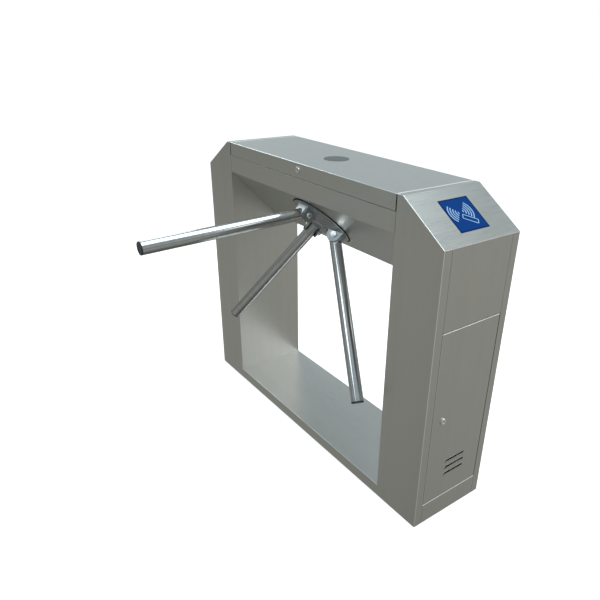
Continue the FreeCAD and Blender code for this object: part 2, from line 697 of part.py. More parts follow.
def arm_bolt(index):
    """Cross bolt: domed head on one ear, nut on the other."""
    head, nut, dome = 5.0, 7.0, 3.5
    outer = EAR_GAP + EAR_THICK
    shank = rod(BOLT_R, (0, -outer - nut - 2, 0), (0, outer, 0))
    cap = rod(9.5, (0, outer, 0), (0, outer + head, 0))
    cap = cap.makeFillet(dome, [e for e in cap.Edges if e.BoundBox.YMin > outer + head - 1])
    hex_nut = prism([(x, -outer, z) for x, z in hexagon(10.5)], (0, -nut, 0))
    return on_arm(moved(fused(shank, cap, hex_nut), BOLT_AT, 0, 0), index)


def main_shaft():
    steps = fused(
        disc(SHAFT_R, SHAFT_START, RATCHET[0]),
        disc(GEAR_SEAT_R, RATCHET[0], GEAR[1]),
        disc(THREAD_R, GEAR[1], BRIDGE[0] + 3),
    )
    return rotor_part(steps)


def ratchet_disc():
    """Locking disc with square notches round its rim and lightening holes."""
    notch_floor, half, hole_r, hole_at = 48.0, 7.5, 7.0, 30.0
    z0, z1 = RATCHET[0] - 1, RATCHET[1] + 1
    notch = box(notch_floor, RATCHET_R + 5, -half, half, z0, z1)
    holes = [disc(hole_r, z0, z1, *p) for p in ring_of(NOTCHES, hole_at, 180 / NOTCHES)]
    seat = disc(GEAR_SEAT_R, z0, z1)
    return rotor_part(cut(disc(RATCHET_R, *RATCHET), seat, *around(notch, NOTCHES), *holes))


def gear_outline(teeth, first_tooth):
    """Involute gear of GEAR_MODULE with a little backlash; first_tooth is the angle of a tooth."""
    pitch_r = GEAR_MODULE * teeth / 2
    base_r = pitch_r * math.cos(math.radians(PRESSURE_ANGLE))
    tip_r = pitch_r + 0.9 * GEAR_MODULE
    root_r = pitch_r - 1.25 * GEAR_MODULE

    def involute(radius):
        """Angle that a flank has turned through at a radius."""
        roll = math.sqrt(max((radius / base_r) ** 2 - 1, 0.0))
        return roll - math.atan(roll)

    half_at_pitch = 0.47 * math.pi / teeth
    flank_from = max(base_r, root_r)
    radii = [flank_from + (tip_r - flank_from) * i / 4 for i in range(5)]
    halves = [half_at_pitch + involute(pitch_r) - involute(r) for r in radii]
    rising = [(root_r, -halves[0])] + [(r, -h) for r, h in zip(radii, halves)]
    falling = [(r, -h) for r, h in reversed(rising)]
    points = []
    for tooth in range(teeth):
        middle = math.radians(first_tooth + 360.0 / teeth * tooth)
        for r, a in rising + falling:
            points.append((r * math.cos(middle + a), r * math.sin(middle + a)))
    return points


def shaft_gear():
    wheel = xy_prism(gear_outline(GEAR_TEETH, 90.0), *GEAR)
    spacer = disc(18.0, RATCHET[1], GEAR[0])
    return rotor_part(cut(fused(wheel, spacer), disc(GEAR_SEAT_R, 0, 200)))


def shaft_locknut():
    nut = xy_prism(hexagon(17.0), GEAR[1], GEAR[1] + 7)
    return rotor_part(cut(nut, disc(THREAD_R, 0, 200)))


# ---------------------------------------------------------------- mechanism frame behind the slanted panel
def pawl_pivot(side):
    """Stepped post that a pawl turns on."""
    x, y, shoulder_r = side * PAWL_PIVOT[0], PAWL_PIVOT[1], 9.0
    seat = PAWL_PLANE[0] - 0.5
    post = disc(shoulder_r, CHASSIS[1], seat, x, y)
    return fused(post, disc(PAWL_PIN_R, seat, PAWL_PLANE[1] + 4, x, y))


def chassis_frame():
    """Mechanism plate with its welded standoffs, bridge posts and pawl pivots."""
    front, back = CHASSIS
    plate = round_uprights(box(-175, 175, -105, 115, front, back), 12.0)
    plate = cut(plate, disc(HOUSING_R, 0, back + 12))
    parts = [pawl_pivot(side) for side in (-1, 1)]
    for p in STANDOFFS:
        parts.append(disc(8.0, SHEET, front, *p))
        parts.append(disc(STUD_R, back, back + 12, *p))
    for p in BRIDGE_POSTS:
        parts.append(disc(6.0, back, BRIDGE[0], *p))
        parts.append(disc(STUD_R, BRIDGE[0], BRIDGE[1] + 8, *p))
    return rotor_part(fused(plate, *parts))


def chassis_nuts():
    thick = 6.0
    nuts = []
    for places, z in ((STANDOFFS, CHASSIS[1]), (BRIDGE_POSTS, BRIDGE[1])):
        for p in places:
            nut = xy_prism(hexagon(7.5, *p), z, z + thick)
            nuts.append(rotor_part(cut(nut, disc(STUD_R, z - 1, z + thick + 1, *p))))
    return nuts


def bearing_housing():
    """Flanged tube with a seat for a ball bearing at each end and a shoulder between them."""
    flange_r, shoulder = 58.0, 3.0
    body = fused(disc(HOUSING_R, CHASSIS[0], HOUSING_END), disc(flange_r, CHASSIS[1], CHASSIS[1] + 8))
    near_seat = disc(BEARING_R, 0, NEAR_BEARING + BEARING_WIDTH)
    far_seat = disc(BEARING_R, FAR_BEARING, 200)
    return rotor_part(cut(body, near_seat, far_seat, disc(BEARING_R - shoulder, 0, 200)))


def ball_bearing(start):
    """Sealed deep-groove bearing as one closed ring, with a shallow groove where its seals are."""
    end, groove_depth = start + BEARING_WIDTH, 1.0
    ring = cut(disc(BEARING_R, start, end), disc(SHAFT_R + RUN, start - 1, end + 1))
    seal = cut(disc(BEARING_R - 4, 0, groove_depth), disc(SHAFT_R + 4.5, -1, 2))
    return rotor_part(cut(ring, moved(seal, 0, 0, start), moved(seal, 0, 0, end - groove_depth)))


def rear_bridge():
    """Plate that carries the damper over the end of the shaft."""
    plate = round_uprights(box(-70, 70, -54, 76, *BRIDGE), 10.0)
    posts = [disc(STUD_R, 100, 200, *p) for p in BRIDGE_POSTS]
    shaft, pinion = disc(14.0, 100, 200), disc(8.0, 100, 200, 0, GEAR_CENTRES)
    return rotor_part(cut(plate, shaft, pinion, *posts))


def damper_body():
    """Closed rotary damper with a blind bearing for the pinion's shaft."""
    start, end = BRIDGE[1], BRIDGE[1] + 30
    case = disc(DAMPER_R, start, end, 0, GEAR_CENTRES)
    case = case.makeFillet(3.0, [e for e in case.Edges if e.BoundBox.ZMin > end - 5])
    bore = disc(PINION_SHAFT_R + RUN, start - 1, end - 10, 0, GEAR_CENTRES)
    return rotor_part(cut(case, bore))


def damper_pinion():
    first_gap = -90 + 180 / PINION_TEETH
    pinion = xy_prism(gear_outline(PINION_TEETH, first_gap), *GEAR)
    shaft = disc(PINION_SHAFT_R, GEAR[0], BRIDGE[1] + 19)
    return rotor_part(moved(fused(pinion, shaft), 0, GEAR_CENTRES, 0))


def engaged_pawl():
    """Lever with its nose in a notch: it stands straight up from the pivot to the plunger's pin."""
    x, y = PAWL_PIVOT
    half, nose, eye_r = 7.0, 3.0, 12.0
    lever = box(x - half, x + half, y, y + PAWL_ARM + 8, *PAWL_PLANE)
    tip = box(PAWL_TIP_X, x, -nose, nose, *PAWL_PLANE)
    return fused(disc(eye_r, *PAWL_PLANE, x, y), lever, tip)


def pawl():
    """The pawl at rest, swung clear of the ratchet."""
    x, y = PAWL_PIVOT
    pin_hole = disc(PAWL_PIN_R + RUN, 0, 200, x, y)
    slot = box(x - 2.9, x + 2.9, y + PAWL_ARM - 5, y + PAWL_ARM + 4, 0, 200)
    return rotor_part(turned(cut(engaged_pawl(), pin_hole, slot), -PAWL_SWING, (x, y, 0)))


def plunger():
    """Solenoid plunger with the pin that rides in the pawl's slot."""
    x = PAWL_PIVOT[0] + PLUNGER_TRAVEL
    body = rod(PLUNGER_R, (x - 8, PLUNGER_Y, PLUNGER_Z), (x + 52, PLUNGER_Y, PLUNGER_Z))
    pin = disc(2.5, PAWL_PLANE[0] - 1, PLUNGER_Z, x, PLUNGER_Y)
    return rotor_part(fused(body, pin))


def solenoid():
    """Coil in its frame, on a folded bracket from the mechanism plate."""
    wall, coil_r = 3.0, 12.0
    x0, x1 = 130.0, 176.0
    y0, y1 = PLUNGER_Y - 17, PLUNGER_Y + 17
    z0, z1 = PLUNGER_Z - 16, PLUNGER_Z + 16
    leg = x1 - 12
    window = box(x0 + wall, x1 - wall, y0 - 1, y1 + 1, z0 + wall, z1 - wall)
    parts = [
        cut(box(x0, x1, y0, y1, z0, z1), window),
        rod(coil_r, (x0 + wall, PLUNGER_Y, PLUNGER_Z), (x1 - wall, PLUNGER_Y, PLUNGER_Z)),
        box(x0, leg, y0, y1, z0 - wall, z0),
        box(leg - wall, leg, y0, y1, CHASSIS[1], z0),
        box(leg - 22, leg, y0, y1, CHASSIS[1], CHASSIS[1] + wall),
    ]
    bore = rod(PLUNGER_R + RUN, (x0 - 1, PLUNGER_Y, PLUNGER_Z), (x1 - 4, PLUNGER_Y, PLUNGER_Z))
    return rotor_part(cut(fused(*parts), bore))


def position_sensor():
    """Slotted optical sensor that straddles the ratchet disc's rim, on its stalk."""
    gap, prong, reach = 3.5, 5.0, -50.0
    z0, z1 = RATCHET[0] - gap, RATCHET[1] + gap
    fork = box(-12, 12, -76, reach, z0 - prong, z1 + prong)
    mouth = box(-13, 13, -68, reach + 1, z0, z1)
    stalk = box(-9, 9, -76, -70, CHASSIS[1], z0 - prong)
    return rotor_part(fused(cut(fork, mouth), stalk))


# ---------------------------------------------------------------- electrics
def control_board():
    """Circuit board on spacers on the crossbar's back, with terminal blocks, relays and a processor."""
    x0, x1, z0, z1 = -400.0, -240.0, 740.0, 880.0
    wall = FACE_Y - SHEET
    back = wall - 10.0
    face = back - 1.6

    def on_board(width, height, depth, x, z):
        return box(x0 + x, x0 + x + width, face - depth, face, z0 + z, z0 + z + height)

    parts = [box(x0, x1, face, back, z0, z1)]
    parts += [rod(3.0, (x, back, z), (x, wall, z)) for x in (x0 + 8, x1 - 8) for z in (z0 + 8, z1 - 8)]
    parts += [on_board(22, 12, 11.4, 14 + 27 * i, 4) for i in range(5)]
    parts += [on_board(20, 26, 14.4, 14 + 34 * i, 100) for i in range(4)]
    parts.append(on_board(32, 32, 3.4, 60, 44))
    parts += [rod(7.0, (x0 + x, face - 20, z0 + 60), (x0 + x, face, z0 + 60)) for x in (24, 124)]
    return fused(*parts)


def counter_module():
    """Boxed pulse counter beside the control board, with a window over its six number wheels."""
    x0, x1, z0, z1 = -200.0, -128.0, 790.0, 840.0
    wall = FACE_Y - SHEET
    front, axle_y, axle_z = wall - 34, wall - 24, z0 + 27
    lug, rim = 9.0, 8.0
    case = box(x0, x1, front, wall, z0, z1)
    cavity = box(x0 + rim, x1 - rim, front - 2, wall - 12, z0 + 16, z1 - 12)
    parts = [rod(2.0, (x0 + 6, axle_y, axle_z), (x1 - 6, axle_y, axle_z))]
    for i in range(6):
        x = x0 + rim + 1 + 9 * i
        parts.append(rod(9.0, (x, axle_y, axle_z), (x + 8, axle_y, axle_z)))
    for x in (x0 - lug, x1):
        parts.append(box(x, x + lug, wall - 3, wall, z0 + 8, z1 - 8))
    return fused(cut(case, cavity), *parts)


def power_supply():
    """Switched supply in a ventilated case on the right pillar's inner panel."""
    x0, z0, z1 = INNER_X + SHEET, 400.0, 560.0
    front, terminal_top = x0 + 38, x0 + 26
    case = box(x0, front, -50, 50, z0, z1)
    slots = [box(front - 2, front + 2, -36, 36, z0 + 30 + 12 * i, z0 + 35 + 12 * i) for i in range(9)]
    terminals = box(x0, terminal_top, -46, 46, z0 - 14, z0)
    screws = []
    for i in range(5):
        y = -36 + 18 * i
        screws.append(rod(3.0, (terminal_top, y, z0 - 7), (terminal_top + 2, y, z0 - 7)))
    return fused(cut(case, *slots), terminals, *screws)


# ---------------------------------------------------------------- nodes
def pair(name, shape):
    """A piece of the right-hand end and its mirror image at the left."""
    return {f"right_{name}": [shape], f"left_{name}": [mirrored(shape)]}


def nodes():
    arms = range(ARM_COUNT)
    out = {}
    for name, make in {
        "front_panel": front_panel,
        "back_panel": back_panel,
        "inner_panel": inner_panel,
        "deck_panel": deck_panel,
        "end_panel": end_panel,
        "foot": foot,
        "door": door,
        "pawl": pawl,
        "plunger": plunger,
    }.items():
        out.update(pair(name, make()))
    out.update(pair("lock_barrel", on_door(lock_barrel())))
    out.update(pair("lock_cam", on_door(lock_cam(DOOR_CAM))))
    out["lid_lock_barrel"] = [on_lid(lock_barrel())]
    out["lid_lock_cam"] = [on_lid(lock_cam(LID_CAM))]
    out["base_channel"] = [base_channel()]
    out["crossbar_front_panel"] = [crossbar_front_panel()]
    out["crossbar_back_panel"] = [crossbar_back_panel()]
    out["lid"] = [lid()]
    out["indicator_lens"] = [indicator_lens()]
    out["indicator_lamp"] = [indicator_lamp()]
    out["lid_hinges"] = [lid_hinge(x) for x in HINGE_PLACES]
    out["door_pivot_pins"] = [half for pin in door_pivot_pins() for half in both_ends(pin)]
    out["lock_keepers"] = both_ends(door_keeper()) + [lid_keeper()]
    out["card_windows"] = both_ends(card_window())
    out["card_readers"] = both_ends(card_reader())
    out["cable_glands"] = both_ends(cable_gland())
    out["rotor_disc"] = [rotor_disc()]
    out["hub_casting"] = [hub_casting()]
    for index in arms:
        out[f"arm_tube_{index + 1}"] = [arm_tube(index)]
    out["arm_roots"] = [arm_root(index) for index in arms]
    out["arm_bolts"] = [arm_bolt(index) for index in arms]
    out["arm_end_plugs"] = [arm_end_plug(index) for index in arms]
    out["main_shaft"] = [main_shaft()]
    out["ratchet_disc"] = [ratchet_disc()]
    out["shaft_gear"] = [shaft_gear()]
    out["shaft_locknut"] = [shaft_locknut()]
    out["chassis_frame"] = [chassis_frame()]
    out["chassis_nuts"] = chassis_nuts()
    out["bearing_housing"] = [bearing_housing()]
    out["ball_bearings"] = [ball_bearing(start) for start in (NEAR_BEARING, FAR_BEARING)]
    out["rear_bridge"] = [rear_bridge()]
    out["damper_body"] = [damper_body()]
    out["damper_pinion"] = [damper_pinion()]
    out["solenoids"] = both_ends(solenoid())
    out["position_sensor"] = [position_sensor()]
    out["control_board"] = [control_board()]
    out["counter_module"] = [counter_module()]
    out["power_supply"] = [power_supply()]
    return out


def main():
    os.makedirs("parts", exist_ok=True)
    for name, shapes in nodes().items():
        solids = [solid for shape in shapes for solid in shape.Solids]
        sound = all(solid.isValid() and solid.isClosed() for solid in solids)
        if len(solids) != len(shapes) or not sound:
            print(f"{name}: {len(solids)} solids from {len(shapes)} shapes, sound: {sound}")
        whole = solids[0] if len(solids) == 1 else Part.makeCompound(solids)
        whole.exportStep(f"parts/{name}.step")


main()
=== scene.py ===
import bpy
import bmesh
import math
from mathutils import Matrix, Vector


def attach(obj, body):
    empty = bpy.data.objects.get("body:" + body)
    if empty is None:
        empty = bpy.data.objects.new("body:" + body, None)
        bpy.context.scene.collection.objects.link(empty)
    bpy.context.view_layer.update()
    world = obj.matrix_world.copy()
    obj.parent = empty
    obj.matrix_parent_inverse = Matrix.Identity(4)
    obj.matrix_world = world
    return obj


# Looks for the tripod turnstile. Lengths are in metres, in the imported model's own frame: X along the cabinet,
# -Y towards the walkway, Z up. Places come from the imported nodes.

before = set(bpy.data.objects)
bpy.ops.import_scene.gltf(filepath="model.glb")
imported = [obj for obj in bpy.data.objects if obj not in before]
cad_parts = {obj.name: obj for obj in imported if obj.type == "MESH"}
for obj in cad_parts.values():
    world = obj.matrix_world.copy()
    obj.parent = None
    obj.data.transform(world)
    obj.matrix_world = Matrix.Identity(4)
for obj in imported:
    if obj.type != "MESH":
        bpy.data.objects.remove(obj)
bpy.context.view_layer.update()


# ---------------------------------------------------------------- shader building blocks
def new_material(name, color, metallic, roughness, **sockets):
    """A Principled material; sockets are further constants, by socket name with _ for spaces."""
    mat = bpy.data.materials.new(name)
    mat.use_nodes = True
    shader = mat.node_tree.nodes["Principled BSDF"]
    shader.inputs["Base Color"].default_value = (*color, 1.0)
    shader.inputs["Metallic"].default_value = metallic
    shader.inputs["Roughness"].default_value = roughness
    for key, value in sockets.items():
        shader.inputs[key.replace("_", " ")].default_value = value
    return mat


def shader_input(mat, name):
    """The named socket of a material's Principled shader."""
    return mat.node_tree.nodes["Principled BSDF"].inputs[name]


def noise(mat, scale, stretch=(1.0, 1.0, 1.0), detail=3.0):
    """Noise in object space, squeezed by the stretch factors."""
    nodes, links = mat.node_tree.nodes, mat.node_tree.links
    coords = nodes.new("ShaderNodeTexCoord")
    squeeze = nodes.new("ShaderNodeMapping")
    squeeze.inputs["Scale"].default_value = stretch
    texture = nodes.new("ShaderNodeTexNoise")
    texture.inputs["Scale"].default_value = scale
    texture.inputs["Detail"].default_value = detail
    links.new(coords.outputs["Object"], squeeze.inputs["Vector"])
    links.new(squeeze.outputs["Vector"], texture.inputs["Vector"])
    return texture.outputs["Fac"]


def spread(tree, value, low, high, at=(0.3, 0.7)):
    """Map a value from the range at to the range low..high."""
    node = tree.nodes.new("ShaderNodeMapRange")
    node.inputs["From Min"].default_value, node.inputs["From Max"].default_value = at
    node.inputs["To Min"].default_value, node.inputs["To Max"].default_value = low, high
    tree.links.new(value, node.inputs["Value"])
    return node.outputs["Result"]


def weighted(tree, one, other, share):
    """one + share * other"""
    node = tree.nodes.new("ShaderNodeMath")
    node.operation = "MULTIPLY_ADD"
    node.inputs[1].default_value = share
    tree.links.new(other, node.inputs[0])
    tree.links.new(one, node.inputs[2])
    return node.outputs["Value"]


def tint(mat, value, dark, light):
    """Blend two colours by a 0..1 value and feed the base colour."""
    tree = mat.node_tree
    mix = tree.nodes.new("ShaderNodeMix")
    mix.data_type = "RGBA"
    mix.inputs["A"].default_value = (*dark, 1.0)
    mix.inputs["B"].default_value = (*light, 1.0)
    tree.links.new(value, mix.inputs["Factor"])
    tree.links.new(mix.outputs["Result"], shader_input(mat, "Base Color"))


def relief(mat, value, strength, distance):
    """Bump the surface by a value."""
    tree = mat.node_tree
    bump = tree.nodes.new("ShaderNodeBump")
    bump.inputs["Strength"].default_value = strength
    bump.inputs["Distance"].default_value = distance
    tree.links.new(value, bump.inputs["Height"])
    tree.links.new(bump.outputs["Normal"], shader_input(mat, "Normal"))


def facing(mat, directions):
    """How well the surface's own normal lines up with the nearest of some directions: 1 when it does."""
    nodes, links = mat.node_tree.nodes, mat.node_tree.links
    normal = nodes.new("ShaderNodeTexCoord").outputs["Normal"]
    best = None
    for direction in directions:
        dot = nodes.new("ShaderNodeVectorMath")
        dot.operation = "DOT_PRODUCT"
        dot.inputs[1].default_value = direction
        links.new(normal, dot.inputs[0])
        size = nodes.new("ShaderNodeMath")
        size.operation = "ABSOLUTE"
        links.new(dot.outputs["Value"], size.inputs[0])
        if best is None:
            best = size.outputs["Value"]
            continue
        larger = nodes.new("ShaderNodeMath")
        larger.operation = "MAXIMUM"
        links.new(best, larger.inputs[0])
        links.new(size.outputs["Value"], larger.inputs[1])
        best = larger.outputs["Value"]
    return best


def recolor(mat, value, color):
    """Blend the base colour towards another one by a 0..1 value."""
    tree = mat.node_tree
    base = shader_input(mat, "Base Color")
    mix = tree.nodes.new("ShaderNodeMix")
    mix.data_type = "RGBA"
    mix.inputs["B"].default_value = (*color, 1.0)
    tree.links.new(base.links[0].from_socket, mix.inputs["A"])
    tree.links.new(value, mix.inputs["Factor"])
    tree.links.new(mix.outputs["Result"], base)


# ---------------------------------------------------------------- materials
# noise stretched along one axis gives lines that run that way
GRAIN = {"X": (0.012, 1.0, 1.0), "Y": (1.0, 0.012, 1.0), "Z": (1.0, 1.0, 0.012)}
STEEL = (0.66, 0.66, 0.63)
# colour that paints a highlight onto the sheet's folds
PAINTED_FOLD_HIGHLIGHT = (0.96, 0.97, 0.97)
DECK_SLOPE = math.radians(33.16)
DECKS = [(side * math.sin(DECK_SLOPE), 0.0, math.cos(DECK_SLOPE)) for side in (1, -1)]
ROTOR_AXIS = (0.0, math.sqrt(0.5), math.sqrt(0.5))
# a surface that lies in none of these planes is a fold
FLATS = [(1.0, 0.0, 0.0), (0.0, 1.0, 0.0), (0.0, 0.0, 1.0), ROTOR_AXIS, *DECKS]
FOLD_EDGE = (0.96, 0.985)  # alignment with a flat: wholly a fold, wholly flat
RIM_EDGE = (0.3, 0.6)  # the same for the rotor disc's rim
# near-black colour that paints the shade of the gap onto the rotor disc's rim
PAINTED_RIM_SHADE = (0.04, 0.04, 0.04)


def scaled(color, factor):
    """A colour made darker or lighter."""
    return tuple(c * factor for c in color)


def brushed(name, grain, fold_highlight_color=PAINTED_FOLD_HIGHLIGHT, color=STEEL, roughness=(0.27, 0.40)):
    """Brushed stainless sheet: fine lines along the grain over broad faint patches, and a painted highlight (a
    lighter colour) on the folds.
    """
    mat = new_material(name, color, 1.0, sum(roughness) / 2)
    tree = mat.node_tree
    lines = noise(mat, 900.0, GRAIN[grain], 4.0)
    bands = noise(mat, 30.0, GRAIN[grain], 2.0)
    patches = noise(mat, 2.6)
    mixed = weighted(tree, weighted(tree, lines, bands, 0.5), patches, 0.4)
    tint(mat, spread(tree, mixed, 0.0, 1.0, (0.65, 1.25)), scaled(color, 0.91), color)
    # painted highlight: surfaces that lie in none of the flat planes, the folds, get a lighter colour
    recolor(mat, spread(tree, facing(mat, FLATS), 1.0, 0.0, FOLD_EDGE), fold_highlight_color)
    tree.links.new(spread(tree, lines, *roughness), shader_input(mat, "Roughness"))
    relief(mat, lines, 0.06, 0.0004)
    return mat


def metal(name, color, roughness, scale=400.0, bump=0.03):
    """Plain metal with a little texture in its colour and roughness."""
    mat = new_material(name, color, 1.0, roughness)
    tree = mat.node_tree
    value = noise(mat, scale)
    tint(mat, spread(tree, value, 0.0, 1.0), scaled(color, 0.88), color)
    rough = spread(tree, value, roughness * 0.8, roughness * 1.25)
    tree.links.new(rough, shader_input(mat, "Roughness"))
    relief(mat, value, bump, 0.0005)
    return mat


def plastic(name, color, roughness, scale=700.0, bump=0.08, **sockets):
    """Moulded or painted surface with a fine texture."""
    mat = new_material(name, color, 0.0, roughness, **sockets)
    value = noise(mat, scale, detail=2.0)
    tint(mat, spread(mat.node_tree, value, 0.0, 1.0), scaled(color, 0.85), color)
    relief(mat, value, bump, 0.0002)
    return mat


UPRIGHT = brushed("stainless_upright", "Z")
LEVEL = brushed("stainless_level", "X")
# the crossbar's folds keep the plain steel colour, without the painted highlight
CROSSBAR = brushed("stainless_crossbar", "X", STEEL)
CROSSWISE = brushed("stainless_crosswise", "Y")
POLISHED = metal("polished_tube", (0.60, 0.61, 0.61), 0.12, 60.0, 0.0)
HUB = metal("hub_satin", (0.50, 0.53, 0.55), 0.36, 260.0, 0.12)
DISC = metal("disc_satin", (0.56, 0.56, 0.53), 0.34, 500.0, 0.05)
# painted shade: where the disc's surface turns away from the rotor axis, at its rim, it is coloured nearly
# black
recolor(DISC, spread(DISC.node_tree, facing(DISC, [ROTOR_AXIS]), 1.0, 0.0, RIM_EDGE), PAINTED_RIM_SHADE)
CHROME = metal("chrome", (0.92, 0.92, 0.92), 0.10, 50.0, 0.0)
MACHINED = metal("machined_steel", (0.56, 0.57, 0.58), 0.28, 500.0, 0.05)
PLATED = metal("zinc_plated", (0.66, 0.64, 0.54), 0.36, 120.0, 0.05)
BLACK_PLASTIC = plastic("black_plastic", (0.016, 0.016, 0.017), 0.45)
BLACK_PAINT = plastic("black_paint", (0.020, 0.020, 0.020), 0.35, 300.0, 0.15)
LENS = plastic("smoked_lens", (0.050, 0.055, 0.056), 0.30, 900.0, 0.02)
BLUE = plastic("blue_acrylic", (0.002, 0.048, 0.23), 0.5, 900.0, 0.0, Specular_IOR_Level=0.05)
NAVY = plastic("navy_border", (0.002, 0.024, 0.11), 0.5, 900.0, 0.0, Specular_IOR_Level=0.05)
PRINT = plastic("pale_print", (0.34, 0.56, 0.80), 0.45, 900.0, 0.0)
BOARD = plastic("solder_resist", (0.012, 0.11, 0.035), 0.30, 200.0, 0.1)


def dress(material, *names):
    """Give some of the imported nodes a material."""
    for name in names:
        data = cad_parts[name].data
        data.materials.clear()
        data.materials.append(material)


def both(*names):
    """The names of the right and the left node of each kind."""
    return [f"{side}_{name}" for side in ("right", "left") for name in names]


dress(UPRIGHT, *both("front_panel", "back_panel", "inner_panel", "end_panel", "door", "foot"))
dress(CROSSWISE, *both("deck_panel"))
dress(LEVEL, "base_channel", "lid", "lid_hinges")
dress(CROSSBAR, "crossbar_front_panel", "crossbar_back_panel")
dress(POLISHED, "arm_tube_1", "arm_tube_2", "arm_tube_3")
dress(MACHINED, "main_shaft", "ratchet_disc", "shaft_gear", "shaft_locknut", "damper_pinion")
dress(MACHINED, "ball_bearings", "door_pivot_pins", *both("plunger"))
dress(HUB, "hub_casting", "arm_roots", "bearing_housing")
dress(DISC, "rotor_disc")
dress(CHROME, "arm_bolts", "lid_lock_barrel", "lid_lock_cam", *both("lock_barrel", "lock_cam"))
dress(PLATED, "chassis_frame", "chassis_nuts", "rear_bridge", "lock_keepers", "power_supply", *both("pawl"))
dress(BLACK_PLASTIC, "arm_end_plugs", "card_readers", "cable_glands", "position_sensor", "counter_module")
dress(BLACK_PAINT, "damper_body", "solenoids")
dress(LENS, "indicator_lens")
dress(BLUE, "card_windows")
dress(BOARD, "control_board", "indicator_lamp")


# ---------------------------------------------------------------- print on the card windows
WINDOW = 0.106  # side of a card window
PRINT_THICK = 0.00012
PRINT_LIFT = 0.00005  # gap between the window and the print
ARC_STEPS = 28
CORNER_STEPS = 6
SMALLEST_CORNER = 0.0004

WAVE_COUNT = 5
FIRST_WAVE = 0.0056  # outer radius of the smallest wave
WAVE_STEP = 0.0076
WAVE_STROKE = 0.0032
WAVE_HALF_ANGLE = math.radians(47)
LEFT_FAN = (-0.0105, 0.006)
RIGHT_FAN = (0.0005, 0.008)

CARD_WIDTH = 0.047
CARD_HEIGHT = 0.016
CARD_STROKE = 0.0024
CARD_AT = (0.010, -0.0185)
CARD_TURN = math.radians(-34)
ROUNDING = 0.003  # corners of the card and of the border
BORDER = WINDOW - 0.001
BORDER_STROKE = 0.0032


def window_frame(side):
    """Frame on a card window's face: origin in its middle, x to the reader's right, y up the slope, z out."""
    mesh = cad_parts["card_windows"].data
    faces = [p for p in mesh.polygons if p.normal.z > 0.5 and side * p.center.x > 0]
    out = max(faces, key=lambda p: p.area).normal.normalized()
    corners = [mesh.vertices[i].co for p in faces for i in p.vertices if p.normal.dot(out) > 0.999]
    middle = Vector([(min(axis) + max(axis)) / 2 for axis in zip(*corners)])
    right = Vector((0.0, float(side), 0.0))
    turn = Matrix((right, out.cross(right), out)).transposed().to_4x4()
    return Matrix.Translation(middle) @ turn


def strip(build, inner, outer, closed=False):
    """A thin printed strip between two lists of points of equal length."""
    rows = []
    for x0, y0, x1, y1 in [(*a, *b) for a, b in zip(inner, outer)]:
        low = [build.verts.new((x, y, 0.0)) for x, y in ((x0, y0), (x1, y1))]
        high = [build.verts.new((x, y, PRINT_THICK)) for x, y in ((x1, y1), (x0, y0))]
        rows.append(low + high)
    pairs = list(zip(rows, rows[1:])) + ([(rows[-1], rows[0])] if closed else [])
    for one, two in pairs:
        for i in range(4):
            j = (i + 1) % 4
            build.faces.new((one[i], two[i], two[j], one[j]))
    if not closed:
        build.faces.new(rows[0])
        build.faces.new(reversed(rows[-1]))


def arc(centre, radius, middle, half_angle):
    """Points along an arc, the same angle to each side of its middle."""
    angles = [middle + half_angle * (2 * i / ARC_STEPS - 1) for i in range(ARC_STEPS + 1)]
    return [(centre[0] + radius * math.cos(a), centre[1] + radius * math.sin(a)) for a in angles]


def waves(build, centre, middle):
    """A fan of arcs that grow away from their shared centre."""
    for i in range(WAVE_COUNT):
        radius = FIRST_WAVE + WAVE_STEP * i
        inner = arc(centre, radius - WAVE_STROKE, middle, WAVE_HALF_ANGLE)
        outer = arc(centre, radius, middle, WAVE_HALF_ANGLE)
        strip(build, inner, outer)


def rounded_box(width, height, radius, centre=(0.0, 0.0), turn=0.0):
    """Closed outline of a rectangle with rounded corners."""
    points = []
    for corner in range(4):
        a0 = corner * math.pi / 2
        sx, sy = ((1, 1), (-1, 1), (-1, -1), (1, -1))[corner]
        mid = (sx * (width / 2 - radius), sy * (height / 2 - radius))
        for i in range(CORNER_STEPS + 1):
            a = a0 + math.pi / 2 / CORNER_STEPS * i
            points.append((mid[0] + radius * math.cos(a), mid[1] + radius * math.sin(a)))
    c, s = math.cos(turn), math.sin(turn)
    return [(centre[0] + c * x - s * y, centre[1] + s * x + c * y) for x, y in points]


def band(build, width, height, radius, stroke, **where):
    """A printed line round a rectangle with rounded corners."""
    corner = max(radius - stroke, SMALLEST_CORNER)
    inner = rounded_box(width - 2 * stroke, height - 2 * stroke, corner, **where)
    strip(build, inner, rounded_box(width, height, radius, **where), closed=True)


def card_symbol(build):
    """Two fans of radio waves over a tilted card."""
    waves(build, LEFT_FAN, math.pi)
    waves(build, RIGHT_FAN, 0.0)
    band(build, CARD_WIDTH, CARD_HEIGHT, ROUNDING, CARD_STROKE, centre=CARD_AT, turn=CARD_TURN)


def border(build):
    """A line just inside the window's edge."""
    band(build, BORDER, BORDER, ROUNDING, BORDER_STROKE)


def printed(name, draw, side, material):
    """Draw onto one card window as a piece that rides on the cabinet."""
    build = bmesh.new()
    draw(build)
    bmesh.ops.recalc_face_normals(build, faces=build.faces)
    mesh = bpy.data.meshes.new(name)
    build.to_mesh(mesh)
    build.free()
    mesh.materials.append(material)
    piece = bpy.data.objects.new(name, mesh)
    piece.matrix_world = window_frame(side) @ Matrix.Translation((0.0, 0.0, PRINT_LIFT))
    bpy.context.collection.objects.link(piece)
    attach(piece, "cabinet")


for end, side in (("right", 1), ("left", -1)):
    printed(f"{end}_window_border", border, side, NAVY)
    printed(f"{end}_window_symbol", card_symbol, side, PRINT)


# ---------------------------------------------------------------- stage, light and camera
FLOOR_HALF = 20.0  # from the middle to an edge
FLOOR_GLOW = 0.62


